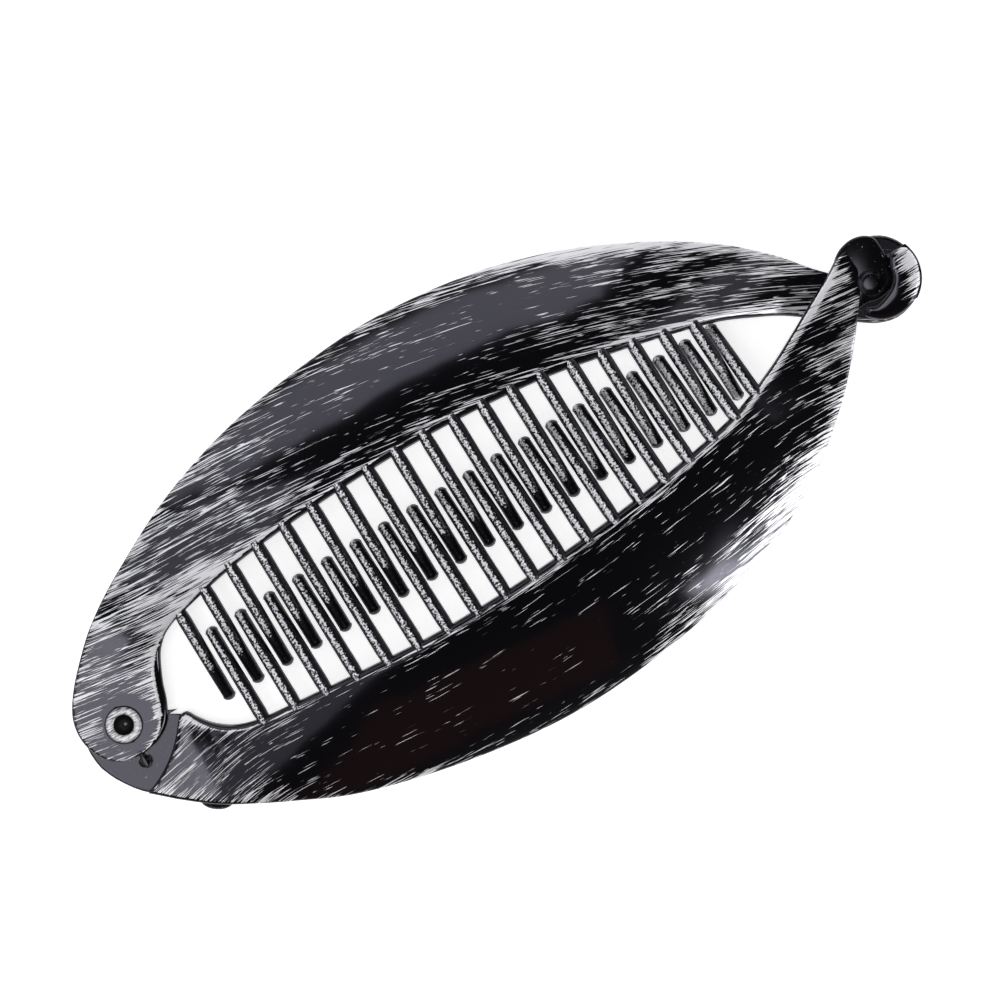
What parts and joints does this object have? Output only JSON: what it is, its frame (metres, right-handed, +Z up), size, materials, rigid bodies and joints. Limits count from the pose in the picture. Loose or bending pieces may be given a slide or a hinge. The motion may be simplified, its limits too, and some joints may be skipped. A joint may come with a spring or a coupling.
{
  "type": "banana hair clip",
  "caption": "Arched banana hair clip: two crowned comb halves joined by a hollow rivet, with interlaced teeth and hooked tips that close one over the other.",
  "frame": {"origin": "under the middle of the closed clip, on the surface it lies on", "axes": "+X from the rivet to the clasp, +Y towards the upper half, +Z up through the arch"},
  "size_m": [0.1502, 0.0688, 0.0206],
  "materials": {
    "brushed_plastic": "glossy black moulding dry-brushed with silver",
    "rivet_metal": "black eyelet brushed with silver"
  },
  "bodies": {
    "lower": {"lower_half": "brushed_plastic", "hinge_rivet": "rivet_metal"},
    "upper": {"upper_half": "brushed_plastic"}
  },
  "joints": [
    {"name": "hinge", "type": "hinge", "parent": "lower", "child": "upper", "pos_m": [-0.0682, -0.00045, 0.0037], "axis": [0, 0, 1], "range_deg": [0, 50]}
  ]
}
